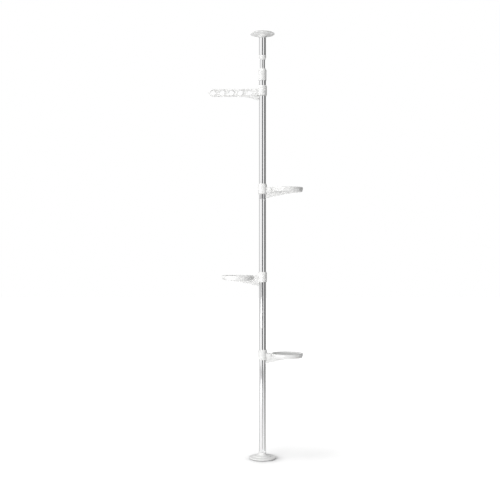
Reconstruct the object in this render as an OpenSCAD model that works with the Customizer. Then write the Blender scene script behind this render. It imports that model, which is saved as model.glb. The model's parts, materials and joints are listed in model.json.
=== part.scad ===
// Floor to ceiling plant stand: a sprung pole that holds three folding trays and a hanging arm.
// The origin is the centre of the foot's face on the floor, +Z runs up the pole, +X is to the right.

/* [Height] */
// Length of inner tube that shows between the lock nut and the sleeve, which sets the stand to the room
rod_show = 47; // [20:1:240]

/* [Pole tubes] */
// Outer radius of the three main tubes
pole_r = 19; // [17:0.5:21]
// Wall of the main tubes and of the spring sleeve
pole_wall = 1; // [0.6:0.1:1.4]
// Length of each main tube
tube_l = 700; // [690:1:704]
// Thickness of the insert's collar that shows as a seam between two tubes
seam_t = 0.8; // [0.5:0.1:2]
// Length of each threaded insert inside a tube
insert_l = 36; // [24:1:60]
// Radius of the threaded stud that joins two tubes
stud_r = 8; // [5:0.5:10]
// Length of the threaded stud
stud_l = 24; // [12:1:30]

/* [Foot] */
// Radius of the foot's outer rim
foot_r = 73; // [66:1:90]
// Height of the foot's rim above the rubber pad
foot_rim_h = 8; // [7:0.5:10]
// Radius of the raised middle of the foot
foot_step_r = 46; // [42:1:52]
// Height of the raised middle above the floor
foot_step_h = 17; // [15:0.5:20]
// Height of the top of the flare above the floor
foot_h = 33; // [30:1:45]
// Height of the seat that the lower tube stands on
foot_seat_z = 12; // [10:0.5:14]
// Wall of the hollow part of the foot
foot_wall = 3; // [2:0.5:4]
// Number of stiffening ribs under the foot
foot_ribs = 8; // [4:1:12]
// Radius of the rubber pad under the foot
foot_pad_r = 62; // [50:1:64]
// Thickness of both rubber pads
pad_t = 3; // [2:0.5:5]

/* [Inner tube] */
// Outer radius of the inner tube
rod_r = 14; // [12:0.5:15]
// Wall of the inner tube
rod_wall = 1; // [0.6:0.1:1.5]
// Length of the inner tube
rod_l = 486; // [430:1:560]
// Length of the sliding guide under the inner tube
guide_l = 10; // [6:1:20]
// Length of the plugs' spigots in the inner tube
spigot_l = 20; // [10:1:40]

/* [Lock] */
// Largest radius of the lock nut
nut_r = 22.4; // [22:0.2:25]
// Radius of the lock nut at its lower edge
nut_low_r = 21.4; // [21.3:0.1:22]
// Length of the lock nut
nut_l = 66; // [54:1:72]
// Height of the lock nut above the end of the upper tube
nut_rise = 13.4; // [12:0.2:18]
// Wall of the lock body's threaded skirt
lock_wall = 1.4; // [1:0.1:1.6]
// Thickness of the lock body's ring on the end of the tube
lock_ring_t = 1.5; // [1:0.1:3]
// Number of slots in the grip
lock_slots = 4; // [2:1:8]
// Number of shallow flutes round the lock nut
nut_flutes = 12; // [6:1:16]
// Depth of the flutes
flute_deep = 0.6; // [0.2:0.1:0.7]

/* [Spring stage] */
// Length of the spring sleeve
sleeve_l = 108.5; // [90:0.5:160]
// Visible height of the tapered ring under the sleeve
ring_h = 23.5; // [16:0.5:36]
// Largest radius of the tapered ring
ring_r = 20; // [20:0.5:22]
// Height of the ring's spigot in the sleeve
ring_spigot_l = 8.2; // [5:0.2:14]
// Thickness of the rod cap's flange, which stops the sleeve
cap_t = 5; // [3:0.5:8]
// Radius of the spring's coil, to the middle of its wire
spring_r = 13.5; // [12:0.1:14]
// Thickness of the spring's wire
wire_d = 2.6; // [2:0.1:3.2]

/* [Ceiling pad] */
// Radius of the ceiling cover's rim
ceil_r = 65.5; // [58:0.5:80]
// Height of the ceiling cover's rim
ceil_rim_h = 4; // [3:0.5:6]
// Fall of the cover's underside from the rim to the neck
ceil_fall = 5; // [3:0.5:8]
// Radius of the rubber pad on the ceiling cover
ceil_pad_r = 60; // [50:1:64]
// Depth from the ceiling cover's top to the end of the sleeve
ceil_seat = 11; // [10:0.5:14]
// Depth of the whole ceiling cover
ceil_h = 21; // [19:0.5:30]

/* [Brackets] */
// Depth of the hanging arm's top edge below the top of the upper tube
hang_drop = 99.4; // [96:0.2:300]
// Height of the first tray's rim above the lower end of the upper tube
tray_1_up = 64.4; // [-120:0.2:280]
// Height of the second tray's rim above the lower end of the middle tube
tray_2_up = 285.2; // [100:0.2:480]
// Height of the third tray's rim above the lower end of the lower tube
tray_3_up = 562; // [110:1:700]
// Largest radius of each collar
collar_r = 24; // [23.5:0.1:25]
// Height of the collar above the rim of its arm
collar_up = 20; // [14:1:24]
// Depth of the collar below the rim of its arm
collar_down = 34; // [30:1:34]
// Thickness of the wedge at its thin upper end
wedge_t = 1.7; // [1.4:0.1:1.8]
// How much thicker the wedge is at its lower end
wedge_taper = 1; // [0.5:0.1:1.2]
// Gap between the two wedge shells
wedge_gap = 1; // [0.5:0.1:3]
// Thickness of the wedge's lower lip
lip_t = 2; // [1.4:0.1:2.6]
// Distance of the hinge pin from the pole's axis
pin_x = 37; // [36.5:0.1:39]
// Depth of the hinge pin below the rim of its arm
pin_drop = 11; // [9:0.5:11]
// Radius of the hinge pin
pin_r = 4; // [3:0.5:5]
// Thickness of each ear
ear_t = 3; // [2.5:0.5:4]
// Thickness of the raised pad on each ear
ear_pad_t = 3; // [1.5:0.5:4]
// Radius of the ears round the pin
ear_r = 12; // [11:0.5:12]
// Thickness of the arms
arm_t = 16; // [12:1:20]
// Depth of the tray arm's heel below the rim
heel_drop = 57; // [50:1:70]
// Depth of the top of the heel, below the collar
heel_top = 37.5; // [37:0.5:40]

/* [Hanging arm] */
// Reach of the hanging arm's round end from the pole's axis
hang_reach = 290; // [270:1:330]
// Depth of the beam
hang_h = 40; // [36:1:46]
// Radius of the ring holes
hole_r = 13.5; // [9:0.5:14]
// Distance between the ring holes
hole_pitch = 49.5; // [44:0.5:50]
// Number of ring holes
hole_count = 5; // [2:1:5]
// Width of the beam's raised rim and of its rings
rim_w = 3.5; // [2:0.5:5]
// Depth of the recess in each face of the beam
recess = 3; // [1:0.5:5]
// Distance from the pole's axis at which the recess starts
recess_x = 56; // [54:1:70]
// Distance from the pole's axis at which the underside starts to fall to the heel
hang_curve_x = 109; // [90:1:140]
// Extra depth of the hanging arm at its heel
hang_heel = 19; // [10:1:26]
// Radius of the peg on the tip
peg_r = 4; // [2:0.5:6]
// Length of the peg on the tip
peg_l = 7; // [4:0.5:14]

/* [Trays] */
// Distance of the tray's centre from the pole's axis
tray_x = 135; // [134:1:150]
// Radius of the tray's rim
tray_r = 85.5; // [70:0.5:86]
// Depth of the tray's side wall
tray_h = 24; // [22:0.5:30]
// How far the side wall draws in at its lower edge
tray_draw = 5; // [1:0.5:6]
// Depth of the tray's floor below its rim
tray_deep = 5; // [3:0.5:7]
// Thickness of the tray's floor
floor_t = 3; // [2:0.5:4]
// Thickness of the rim above the floor
tray_lip = 3; // [2:0.5:5]
// Thickness of the side wall at its lower edge
skirt_t = 2.5; // [2:0.5:4]
// Depth of the ring grooves in the tray's floor
groove_deep = 0.8; // [0.4:0.1:1.2]
// Width of the ring grooves
groove_w = 2; // [1:0.5:4]
// Number of ring grooves
groove_count = 3; // [1:1:4]
// Distance between the ring grooves
groove_pitch = 20; // [12:1:20]
// Depth of the tray arm at its far end, below the rim
arm_tip_drop = 24; // [23:0.5:30]
// Distance of the mounting lugs from the tray's centre
lug_x = 35; // [24:1:45]
// Distance of the tray screws from the tray's middle line
lug_y = 14; // [13:0.5:18]
// Depth of the screw bosses under the floor
boss_h = 8; // [7.5:0.5:10]
// Thickness of the mounting lugs
lug_t = 3; // [2:0.5:4]
// Radius of the mounting lugs and of the bosses
lug_r = 4.5; // [4:0.5:6]

/* [Fasteners] */
// Shank radius of the foot and ceiling screws
screw_r = 3; // [2.5:0.5:4]
// Shank length of the foot and ceiling screws
screw_l = 20; // [14:1:24]
// Head radius of the foot and ceiling screws
head_r = 5.5; // [5:0.5:7]
// Head height of the foot and ceiling screws
head_h = 3.5; // [2:0.5:4]
// Shank radius of the tray screws
small_r = 1.5; // [1:0.25:2]
// Head radius of the tray screws
small_head_r = 3.2; // [3:0.2:4.4]
// Head height of the tray screws
small_head_h = 2.2; // [1:0.2:3]
// Length of the plugs in the ends of the pole
plug_l = 26; // [24:1:36]

/* [Fits] */
// Radial clearance of pieces that turn, slide or plug together
fit = 0.05; // [0.03:0.01:0.08]
// Clearance between moving pieces that don't bear on each other
clear = 0.3; // [0.2:0.05:0.6]

/* [Hidden] */
$fn = 96;
STEEL = "silver";
WHITE = "whitesmoke";
CORE = "gainsboro";
RUBBER = "dimgray";
// Sides: 1 is towards +X, -1 towards -X
RIGHT = 1;
LEFT = -1;
// Overlap of cutting shapes with the faces that they cut
cut = 1;
// Radius of the bore that the pole's tubes share
bore_r = pole_r - pole_wall;
rod_bore_r = rod_r - rod_wall;

// Depth of the screws' heads below the faces of the two covers
head_sink = 1.5;
// Small chamfers on moulded edges
chamfer = 0.6;
// Roundings of the foot: its two outer edges, and its rim with the fillet round the raised middle
foot_edge_r = 2;
foot_round_r = 3;
// Straight lip at the top of the foot's flare
foot_lip = 1;
// Radius of the flare from the raised middle up to the lip
flare_r = foot_h - foot_lip - foot_step_h;
// Thickness of the foot's ribs, of the plugs' closed ends and of the air below a stud
foot_rib_t = 2;
plug_web = 4;
stud_gap = 1;

// Heights up the pole
lower_z = foot_seat_z;
seam_1_z = lower_z + tube_l;
middle_z = seam_1_z + seam_t;
seam_2_z = middle_z + tube_l;
upper_z = seam_2_z + seam_t;
tube_top = upper_z + tube_l;
nut_z = tube_top + nut_rise - nut_l;
hang_z = tube_top - hang_drop;
tray_1_z = upper_z + tray_1_up;
tray_2_z = middle_z + tray_2_up;
tray_3_z = lower_z + tray_3_up;

// Heights of the sprung stage, which the inner tube carries up to the ceiling
sleeve_z = tube_top + nut_rise + rod_show + ring_h;
sleeve_top = sleeve_z + sleeve_l;
ceil_pad_z = sleeve_top + ceil_seat;
rod_top = sleeve_z + ring_spigot_l + clear;
rod_z = rod_top - rod_l;
spring_z = rod_top + cap_t;
spring_top = sleeve_top - plug_l;

// Radius of the neck that holds the pole in both covers
neck_r = pole_r + 1.6;
// Lock: skirt round the tube, grip on the inner tube, shoulder and mouth of the nut
skirt_r = pole_r + fit + lock_wall;
skirt_rise = 4;
grip_low_r = rod_r + 2.6;
grip_top_r = rod_r + 1;
grip_top = tube_top + nut_rise - 2.4;
slot_w = 1;
shoulder_r = 5;
shoulder_drop = 12;
mouth_r = rod_r + 2.8;
mouth_h = 1.5;
flute_r = 2.5;
// Roundings of the sleeve's ring and of the ceiling cover
ring_round_r = 8;
ceil_edge_r = 1.5;
ceil_fillet = 9;
// Height of the rod cap's boss inside the spring
boss_rise = 8;
// Wedge and collar radii at their upper and lower ends
wedge_in = pole_r + fit;
wedge_top_r = wedge_in + wedge_t;
wedge_low_r = wedge_top_r + wedge_taper;
wedge_top = collar_up - 1;
lip_r = collar_r - 0.8;
// Roundings of the collar: its shoulder, the slight draw of its lower end and the foot of its ears
collar_round_r = 4;
shoulder_h = 7;
draw_h = 8;
ear_round_r = 5;
// Distance from the pole's axis at which the ears start inside the collar's wall
ear_root = pole_r - 5;
// Low heads of the hinge pin
pin_head_t = 1;
pin_head_rim = 1.5;
pin_z = -pin_drop;
ear_in = arm_t / 2 + clear;
ear_out = ear_in + ear_t + ear_pad_t;
// Radius of the raised pad's round ends, inside the ear's edge
ear_pad_r = ear_r - 1;
// Distance between the middles of the pad's two round ends
ear_pad_reach = 4;
floor_z = -tray_deep;
under_z = floor_z - floor_t;
heel_x = pole_r + clear;
tongue_x = pin_x - pin_drop;
hang_mid = -hang_h / 2;
hang_end_r = hang_h / 2;
hole_x = hang_reach - hang_end_r;
lug_top = under_z - boss_h;
// Chamfers of the two kinds of heel
tray_heel_cut = 4;
hang_heel_cut = 7;
// Far end of the tray's arm, just inside the side wall
rib_end = tray_x + tray_r - tray_draw - skirt_t - 2;
// Roundings of the tray's rim and of its recess
rim_round_r = 1.2;
recess_edge = 0.8;

// Points on an arc about c, from angle a to angle b, in n steps
function arc(c, r, a, b, n = 8) =
  [for (i = [0:n]) [c[0] + r * cos(a + (b - a) * i / n), c[1] + r * sin(a + (b - a) * i / n)]];

// Underside of the tray arm at a distance x from the pole's axis
function rib_z(x) =
  -arm_tip_drop - (heel_drop - arm_tip_drop) * pow((rib_end - x) / (rib_end - heel_x - tray_heel_cut), 1.4);

// Underside of the hanging arm at a distance x from the pole's axis
function hang_low(x) =
  x >= hang_curve_x ? -hang_h
    : -hang_h - hang_heel * pow((hang_curve_x - x) / (hang_curve_x - heel_x - hang_heel_cut), 1.6);

// A flat outline in X and Z, given the thickness t along Y
module upright(t) {
  rotate([90, 0, 0]) linear_extrude(t, center = true) children();
}

// Puts an arm's piece at the height z of its rim, on one side of the pole
module place(side, z) {
  translate([0, 0, z]) rotate([0, 0, side == LEFT ? 180 : 0]) children();
}

// A straight tube from height z
module tube(r, wall, z, l) {
  translate([0, 0, z]) difference() {
    cylinder(r = r, h = l);
    translate([0, 0, -cut]) cylinder(r = r - wall, h = l + 2 * cut);
  }
}

// A screw that points up from z, or down where up is false
module screw(z, up, r, l, hr, hh) {
  translate([0, 0, z]) rotate([up ? 0 : 180, 0, 0]) {
    cylinder(r = r, h = l);
    difference() {
      translate([0, 0, -hh]) cylinder(r = hr, h = hh);
      translate([0, 0, -hh - cut]) cylinder(r = hr / 2, h = hh / 2 + cut, $fn = 6);
    }
  }
}

module foot_pad() {
  color(RUBBER) cylinder(r = foot_pad_r, h = pad_t);
}

// Outline of the foot cover, from the axis to the rim and up to the neck
function foot_outline() = concat(
  [[0, pad_t]],
  arc([foot_r - foot_edge_r, pad_t + foot_edge_r], foot_edge_r, -90, 0, 4),
  arc([foot_r - foot_round_r, pad_t + foot_rim_h - foot_round_r], foot_round_r, 0, 80, 6),
  arc([foot_step_r + foot_round_r, foot_step_h - foot_edge_r], foot_round_r, -95, -180, 6),
  arc([foot_step_r - foot_edge_r, foot_step_h - foot_edge_r], foot_edge_r, 20, 90, 4),
  arc([neck_r + flare_r, foot_h - foot_lip], flare_r, 270, 180, 10),
  [[neck_r, foot_h], [0, foot_h]]
);

module foot_cover() {
  pocket_in = neck_r + foot_wall;
  pocket_out = foot_r - 2 * foot_wall;
  color(WHITE) difference() {
    rotate_extrude() polygon(foot_outline());
    translate([0, 0, foot_seat_z]) cylinder(r = pole_r + fit, h = foot_h);
    translate([0, 0, -cut]) cylinder(r = screw_r + fit, h = foot_h);
    translate([0, 0, pad_t - cut]) cylinder(r = head_r + clear, h = head_h + head_sink + cut);
    difference() {
      rotate_extrude() polygon([
        [pocket_in, pad_t - cut],
        [pocket_out, pad_t - cut],
        [pocket_out, pad_t + foot_rim_h - foot_wall - foot_edge_r],
        [foot_step_r - foot_edge_r, foot_step_h - foot_edge_r - foot_round_r - foot_wall],
        [pocket_in, foot_step_h - foot_wall]
      ]);
      for (i = [0:foot_ribs - 1])
        rotate([0, 0, i * 360 / foot_ribs]) translate([0, -foot_rib_t / 2, 0])
          cube([foot_r, foot_rib_t, foot_h]);
    }
  }
}

module foot_screw() {
  color(STEEL) screw(pad_t + head_h + head_sink, true, screw_r, screw_l, head_r, head_h);
}

module foot_plug() {
  color(CORE) translate([0, 0, foot_seat_z]) difference() {
    cylinder(r = bore_r - fit, h = plug_l);
    translate([0, 0, -cut]) cylinder(r = screw_r + fit, h = plug_l - plug_web + cut);
  }
}

// Insert fixed in the upper end of a tube, whose collar shows as the seam at z
module socket_insert(z) {
  color(CORE) difference() {
    union() {
      translate([0, 0, z - insert_l]) cylinder(r = bore_r - fit, h = insert_l);
      translate([0, 0, z]) cylinder(r = pole_r, h = seam_t);
    }
    translate([0, 0, z - stud_l - stud_gap]) cylinder(r = stud_r + fit, h = stud_l + seam_t + stud_gap + cut);
  }
}

// Insert fixed in the lower end of the next tube, with the stud that screws down into the socket
module stud_insert(z) {
  color(CORE) {
    translate([0, 0, z]) cylinder(r = bore_r - fit, h = insert_l);
    translate([0, 0, z - seam_t - stud_l]) cylinder(r = stud_r, h = stud_l + seam_t + cut);
  }
}

module lower_tube() {
  color(STEEL) tube(pole_r, pole_wall, lower_z, tube_l);
}

module lower_socket_insert() {
  socket_insert(seam_1_z);
}

module lower_stud_insert() {
  stud_insert(middle_z);
}

module middle_tube() {
  color(STEEL) tube(pole_r, pole_wall, middle_z, tube_l);
}

module upper_socket_insert() {
  socket_insert(seam_2_z);
}

module upper_stud_insert() {
  stud_insert(upper_z);
}

module upper_tube() {
  color(STEEL) tube(pole_r, pole_wall, upper_z, tube_l);
}

// Threaded skirt round the tube's end, with the slotted grip that closes on the inner tube
module lock_body() {
  color(CORE) difference() {
    rotate_extrude() polygon([
      [rod_r + fit, tube_top],
      [pole_r + fit, tube_top],
      [pole_r + fit, nut_z + skirt_rise],
      [skirt_r, nut_z + skirt_rise],
      [skirt_r, tube_top + lock_ring_t],
      [grip_low_r, tube_top + lock_ring_t],
      [grip_top_r, grip_top],
      [rod_r + fit, grip_top]
    ]);
    for (i = [0:lock_slots - 1])
      rotate([0, 0, (i + 0.5) * 360 / lock_slots])
        translate([0, -slot_w / 2, tube_top + lock_ring_t + slot_w])
          cube([grip_low_r + cut, slot_w, nut_rise]);
  }
}

module lock_nut() {
  nut_top = nut_z + nut_l;
  ring_top = tube_top + lock_ring_t;
  color(WHITE) difference() {
    rotate_extrude() polygon(concat(
      [[skirt_r + fit, nut_z], [nut_low_r - chamfer / 2, nut_z], [nut_low_r, nut_z + chamfer]],
      arc([nut_r - shoulder_r, nut_top - shoulder_drop], shoulder_r, 0, 70, 6),
      [[mouth_r + chamfer, nut_top - mouth_h], [mouth_r, nut_top]],
      [[grip_top_r + fit, nut_top], [grip_top_r + fit, grip_top]],
      [[grip_low_r + fit, ring_top + fit], [skirt_r + fit, ring_top + fit]]
    ));
    for (i = [0:nut_flutes - 1])
      rotate([0, 0, i * 360 / nut_flutes]) translate([nut_r + flute_r - flute_deep, 0, nut_z + nut_l / 3])
        cylinder(r = flute_r, h = nut_l / 2, $fn = 24);
  }
}

// Slider that keeps the inner tube centred in the upper tube
module rod_guide() {
  color(CORE) {
    translate([0, 0, rod_z - guide_l]) cylinder(r = bore_r - fit, h = guide_l);
    translate([0, 0, rod_z - cut]) cylinder(r = rod_bore_r - fit, h = spigot_l + cut);
  }
}

module inner_tube() {
  color(STEEL) tube(rod_r, rod_wall, rod_z, rod_l);
}

// Plug in the inner tube's top: its flange stops the sleeve's ring and carries the spring
module rod_cap() {
  color(CORE) {
    translate([0, 0, rod_top - spigot_l]) cylinder(r = rod_bore_r - fit, h = spigot_l + cut);
    translate([0, 0, rod_top]) cylinder(r = bore_r - fit, h = cap_t);
    translate([0, 0, spring_z - cut]) cylinder(r = spring_r - wire_d / 2 - 1, h = boss_rise + cut);
  }
}

// Space that the hidden spring's coils fill
module tension_spring() {
  color(STEEL) translate([0, 0, spring_z]) difference() {
    cylinder(r = spring_r + wire_d / 2, h = spring_top - spring_z);
    translate([0, 0, -cut]) cylinder(r = spring_r - wire_d / 2, h = spring_top - spring_z + 2 * cut);
  }
}

module sleeve_ring() {
  color(WHITE) rotate_extrude() polygon(concat(
    [[rod_r + fit, sleeve_z - ring_h], [rod_r + 1, sleeve_z - ring_h]],
    arc([ring_r - ring_round_r, sleeve_z - ring_h / 2 + 1], ring_round_r, -20, 0, 4),
    [[ring_r, sleeve_z - chamfer], [ring_r - chamfer, sleeve_z], [bore_r - fit, sleeve_z]],
    [[bore_r - fit, sleeve_z + ring_spigot_l], [rod_r + fit, sleeve_z + ring_spigot_l]]
  ));
}

module spring_sleeve() {
  color(STEEL) tube(pole_r, pole_wall, sleeve_z, sleeve_l);
}

module ceiling_plug() {
  color(CORE) translate([0, 0, spring_top]) difference() {
    cylinder(r = bore_r - fit, h = plug_l);
    translate([0, 0, plug_web]) cylinder(r = screw_r + fit, h = plug_l);
  }
}

module ceiling_screw() {
  color(STEEL) screw(ceil_pad_z - head_h - head_sink, false, screw_r, screw_l, head_r, head_h);
}

module ceiling_cover() {
  under = ceil_pad_z - ceil_rim_h;
  neck_z = ceil_pad_z - ceil_h;
  color(WHITE) difference() {
    rotate_extrude() polygon(concat(
      [[0, ceil_pad_z], [ceil_r - chamfer, ceil_pad_z], [ceil_r, ceil_pad_z - chamfer]],
      arc([ceil_r - ceil_edge_r, under + ceil_edge_r], ceil_edge_r, 0, -80, 4),
      arc([neck_r + ceil_fillet, under - ceil_fall - ceil_fillet], ceil_fillet, 90, 180, 8),
      [[neck_r, neck_z], [0, neck_z]]
    ));
    translate([0, 0, neck_z - cut]) cylinder(r = pole_r + fit, h = ceil_h - ceil_seat + cut);
    translate([0, 0, neck_z]) cylinder(r = screw_r + fit, h = ceil_h + cut);
    translate([0, 0, ceil_pad_z - head_h - head_sink])
      cylinder(r = head_r + clear, h = head_h + head_sink + cut);
  }
}

module ceiling_pad() {
  color(RUBBER) translate([0, 0, ceil_pad_z]) cylinder(r = ceil_pad_r, h = pad_t);
}

// One tapered half shell of the wedge that a collar jams on, in front of the pole or behind it
module wedge(z, front) {
  y = front ? -lip_r - cut : wedge_gap / 2;
  color(CORE) translate([0, 0, z]) intersection() {
    rotate_extrude() polygon([
      [wedge_in, -collar_down - clear - lip_t],
      [lip_r, -collar_down - clear - lip_t],
      [lip_r, -collar_down - clear],
      [wedge_low_r, -collar_down - clear],
      [wedge_low_r, -collar_down],
      [wedge_top_r, wedge_top],
      [wedge_in, wedge_top]
    ]);
    translate([-lip_r - cut, y, -collar_down - lip_t - cut])
      cube([2 * (lip_r + cut), lip_r + cut - wedge_gap / 2, collar_down + collar_up + lip_t + cut]);
  }
}

// Outline of one ear, from inside the collar's wall round the pin to the collar's lower edge
function ear_outline() = concat(
  [[ear_root, pin_z + ear_r]],
  arc([pin_x, pin_z], ear_r, 90, -30, 12),
  arc([pin_x + 3, ear_round_r - collar_down], ear_round_r, 0, -90, 6),
  [[ear_root, -collar_down]]
);

// Outline of the raised pad on an ear: round at both ends, with a groove left between it and the collar
function ear_pad_outline() = concat(
  arc([pin_x, pin_z], ear_pad_r, 90, -90, 16),
  arc([pin_x - ear_pad_reach, pin_z], ear_pad_r, -90, -270, 16)
);

module collar(side, z) {
  color(WHITE) place(side, z) difference() {
    union() {
      rotate_extrude() polygon(concat(
        [[0, -collar_down], [collar_r - 2 * chamfer, -collar_down]],
        [[collar_r - chamfer, chamfer - collar_down], [collar_r, draw_h - collar_down]],
        arc([collar_r - collar_round_r, collar_up - shoulder_h], collar_round_r, 0, 50, 5),
        [[wedge_top_r + fit + 1, collar_up], [0, collar_up]]
      ));
      for (y = [-1, 1]) {
        translate([0, y * (ear_in + ear_t / 2), 0]) upright(ear_t) polygon(ear_outline());
        translate([0, y * (ear_out - ear_pad_t / 2), 0]) upright(ear_pad_t) polygon(ear_pad_outline());
      }
    }
    rotate_extrude() polygon([
      [0, -collar_down - cut],
      [wedge_low_r + fit, -collar_down - cut],
      [wedge_low_r + fit, -collar_down],
      [wedge_top_r + fit, wedge_top],
      [wedge_top_r + fit, collar_up + cut],
      [0, collar_up + cut]
    ]);
    translate([pin_x, 0, pin_z]) rotate([90, 0, 0])
      cylinder(r = pin_r, h = 2 * (ear_out + cut), center = true);
  }
}

// Pin pressed in the ears, with a low head on each side
module pin(side, z) {
  color(WHITE) place(side, z) translate([pin_x, 0, pin_z]) rotate([90, 0, 0]) {
    cylinder(r = pin_r, h = 2 * ear_out, center = true);
    for (a = [0, 180])
      rotate([a, 0, 0]) translate([0, 0, ear_out])
        cylinder(r1 = pin_r + pin_head_rim, r2 = pin_r + pin_head_rim / 3, h = pin_head_t);
  }
}

// Tongue and heel that both kinds of arm share: the points from the tongue down to the heel's corner
function heel_points(drop, corner) = [
  [tongue_x, pin_z],
  [tongue_x, -heel_top],
  [heel_x, -heel_top],
  [heel_x, corner - drop],
  [heel_x + corner, -drop]
];

module pin_hole() {
  translate([pin_x, 0, pin_z]) rotate([90, 0, 0])
    cylinder(r = pin_r + fit, h = arm_t + 2 * cut, center = true);
}

module tray_arm(side, z) {
  rise = under_z - pin_z;
  rib_start = heel_x + tray_heel_cut;
  steps = 10;
  color(WHITE) place(side, z) difference() {
    union() {
      upright(arm_t) polygon(concat(
        [[rib_end, under_z], [pin_x + sqrt(pin_drop * pin_drop - rise * rise), under_z]],
        arc([pin_x, pin_z], pin_drop, asin(rise / pin_drop) + 5, 175, 12),
        heel_points(heel_drop, tray_heel_cut),
        [for (i = [1:steps]) let (x = rib_start + (rib_end - rib_start) * i / steps) [x, rib_z(x)]]
      ));
      for (x = [-lug_x, lug_x])
        translate([tray_x + x, 0, lug_top - lug_t]) {
          translate([-lug_r, -lug_y, 0]) cube([2 * lug_r, 2 * lug_y, lug_t]);
          for (y = [-lug_y, lug_y])
            translate([0, y, 0]) cylinder(r = lug_r, h = lug_t);
        }
    }
    pin_hole();
    for (x = [-lug_x, lug_x], y = [-lug_y, lug_y])
      translate([tray_x + x, y, lug_top - lug_t - cut]) cylinder(r = small_r + fit, h = lug_t + 2 * cut);
  }
}

// Radius of the tray's side wall at a depth below its rim
function side_r(d) = tray_r - tray_draw * pow(d / tray_h, 2.5);

module tray_dish(side, z) {
  inner_r = tray_r - tray_draw - skirt_t;
  recess_r = tray_r - tray_lip;
  steps = 6;
  color(WHITE) place(side, z) difference() {
    union() {
      translate([tray_x, 0, 0]) rotate_extrude() polygon(concat(
        [[0, under_z], [0, floor_z], [recess_r - recess_edge, floor_z], [recess_r, floor_z + recess_edge]],
        [[recess_r, -recess_edge], [recess_r + recess_edge, 0]],
        arc([tray_r - rim_round_r, -rim_round_r], rim_round_r, 90, 0, 4),
        [for (i = [1:steps]) let (d = tray_h * i / steps) [side_r(d), -d]],
        [[inner_r, -tray_h], [inner_r, under_z]]
      ));
      for (x = [-lug_x, lug_x], y = [-lug_y, lug_y])
        translate([tray_x + x, y, lug_top]) cylinder(r = lug_r, h = boss_h + 1);
    }
    for (i = [1:groove_count])
      translate([tray_x, 0, 0])
        tube(i * groove_pitch + groove_w, groove_w, floor_z - groove_deep, groove_deep + cut);
    translate([0, -ear_in, under_z - tray_h]) cube([rib_end + clear, 2 * ear_in, tray_h]);
    for (x = [-lug_x, lug_x], y = [-lug_y, lug_y])
      translate([tray_x + x, y, lug_top - cut]) cylinder(r = small_r + fit, h = boss_h + cut);
  }
}

module tray_screws(side, z) {
  color(STEEL) place(side, z)
    for (x = [-lug_x, lug_x], y = [-lug_y, lug_y])
      translate([tray_x + x, y, 0])
        screw(lug_top - lug_t, true, small_r, lug_t + boss_h - 1, small_head_r, small_head_h);
}

// Outline of the hanging arm from x to its round end, drawn in by w from the edge
function beam(x, w) = concat(
  arc([hole_x, hang_mid], hang_end_r - w, 90, -90, 24),
  [for (i = [1:10]) let (p = hang_curve_x + (x - hang_curve_x) * i / 10) [p, hang_low(p) + w]],
  [[x, -w]]
);

module hanging_arm() {
  curve_start = heel_x + hang_heel_cut;
  steps = 12;
  peg_edge = 1;
  color(WHITE) place(LEFT, hang_z) difference() {
    union() {
      upright(arm_t) polygon(concat(
        arc([pin_x, pin_z], pin_drop, 90, 175, 8),
        heel_points(hang_h + hang_heel, hang_heel_cut),
        [for (i = [1:steps]) let (x = curve_start + (hang_curve_x - curve_start) * i / steps)
          [x, hang_low(x)]],
        arc([hole_x, hang_mid], hang_end_r, -90, 90, 24)
      ));
      translate([hang_reach - cut, 0, hang_mid]) rotate([0, 90, 0]) {
        cylinder(r = peg_r, h = peg_l + cut - peg_edge);
        translate([0, 0, peg_l + cut - peg_edge]) cylinder(r1 = peg_r, r2 = peg_r - peg_edge, h = peg_edge);
      }
    }
    for (y = [-arm_t / 2, arm_t / 2])
      translate([0, y, 0]) difference() {
        upright(2 * recess) polygon(beam(recess_x, rim_w));
        for (i = [0:hole_count - 1])
          translate([hole_x - i * hole_pitch, 0, hang_mid]) rotate([90, 0, 0])
            cylinder(r = hole_r + rim_w, h = 2 * recess + cut, center = true);
      }
    for (i = [0:hole_count - 1])
      translate([hole_x - i * hole_pitch, 0, hang_mid]) rotate([90, 0, 0])
        cylinder(r = hole_r, h = arm_t + 2 * cut, center = true);
    pin_hole();
  }
}

foot_pad();
foot_cover();
foot_screw();
foot_plug();
lower_tube();
lower_socket_insert();
lower_stud_insert();
middle_tube();
upper_socket_insert();
upper_stud_insert();
upper_tube();
lock_body();
lock_nut();
rod_guide();
inner_tube();
rod_cap();
tension_spring();
sleeve_ring();
spring_sleeve();
ceiling_plug();
ceiling_screw();
ceiling_cover();
ceiling_pad();

wedge(hang_z, true);  // hang_wedge_front
wedge(hang_z, false);  // hang_wedge_back
collar(LEFT, hang_z);  // hang_collar
pin(LEFT, hang_z);  // hang_pin
hanging_arm();

wedge(tray_1_z, true);  // tray_1_wedge_front
wedge(tray_1_z, false);  // tray_1_wedge_back
collar(RIGHT, tray_1_z);  // tray_1_collar
pin(RIGHT, tray_1_z);  // tray_1_pin
tray_arm(RIGHT, tray_1_z);  // tray_1_arm
tray_dish(RIGHT, tray_1_z);  // tray_1_dish
tray_screws(RIGHT, tray_1_z);  // tray_1_screws

wedge(tray_2_z, true);  // tray_2_wedge_front
wedge(tray_2_z, false);  // tray_2_wedge_back
collar(LEFT, tray_2_z);  // tray_2_collar
pin(LEFT, tray_2_z);  // tray_2_pin
tray_arm(LEFT, tray_2_z);  // tray_2_arm
tray_dish(LEFT, tray_2_z);  // tray_2_dish
tray_screws(LEFT, tray_2_z);  // tray_2_screws

wedge(tray_3_z, true);  // tray_3_wedge_front
wedge(tray_3_z, false);  // tray_3_wedge_back
collar(RIGHT, tray_3_z);  // tray_3_collar
pin(RIGHT, tray_3_z);  // tray_3_pin
tray_arm(RIGHT, tray_3_z);  // tray_3_arm
tray_dish(RIGHT, tray_3_z);  // tray_3_dish
tray_screws(RIGHT, tray_3_z);  // tray_3_screws
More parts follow.
